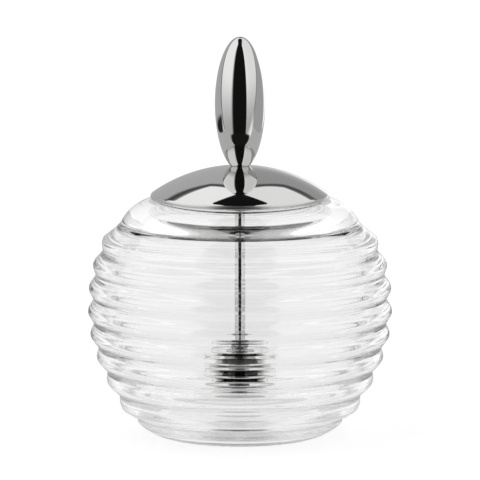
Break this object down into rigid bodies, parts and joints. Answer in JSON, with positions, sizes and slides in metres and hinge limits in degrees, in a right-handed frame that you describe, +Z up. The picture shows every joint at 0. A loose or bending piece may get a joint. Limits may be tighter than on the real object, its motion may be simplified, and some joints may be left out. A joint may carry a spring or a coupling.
{
  "type": "honey pot with lift-off lid",
  "caption": "Round ridged clear glass honey pot with a polished steel dome lid, a long oval handle and a ringed steel dipper hanging from the lid.",
  "frame": {"origin": "centre of the foot ring on the surface that the pot stands on", "axes": "+Z up along the axis of the pot, the lid, the handle and the dipper; the object is round, so X and Y are alike"},
  "size_m": [0.11, 0.11, 0.1438],
  "materials": {
    "pot_glass": "clear pressed crystal glass, fire polished",
    "mirror_steel": "mirror-polished stainless steel",
    "satin_steel": "fine turned stainless steel"
  },
  "bodies": {
    "pot": {"pot": "pot_glass"},
    "lid": {"lid_dome": "mirror_steel", "lid_collar": "satin_steel", "handle": "mirror_steel", "clamp_washer": "satin_steel", "clamp_nut": "satin_steel", "dipper_rod": "mirror_steel", "dipper_head": "mirror_steel"}
  },
  "joints": [
    {"name": "lid_lift", "type": "slide", "parent": "pot", "child": "lid", "axis": [0, 0, 1], "range_m": [0, 0.09]}
  ]
}
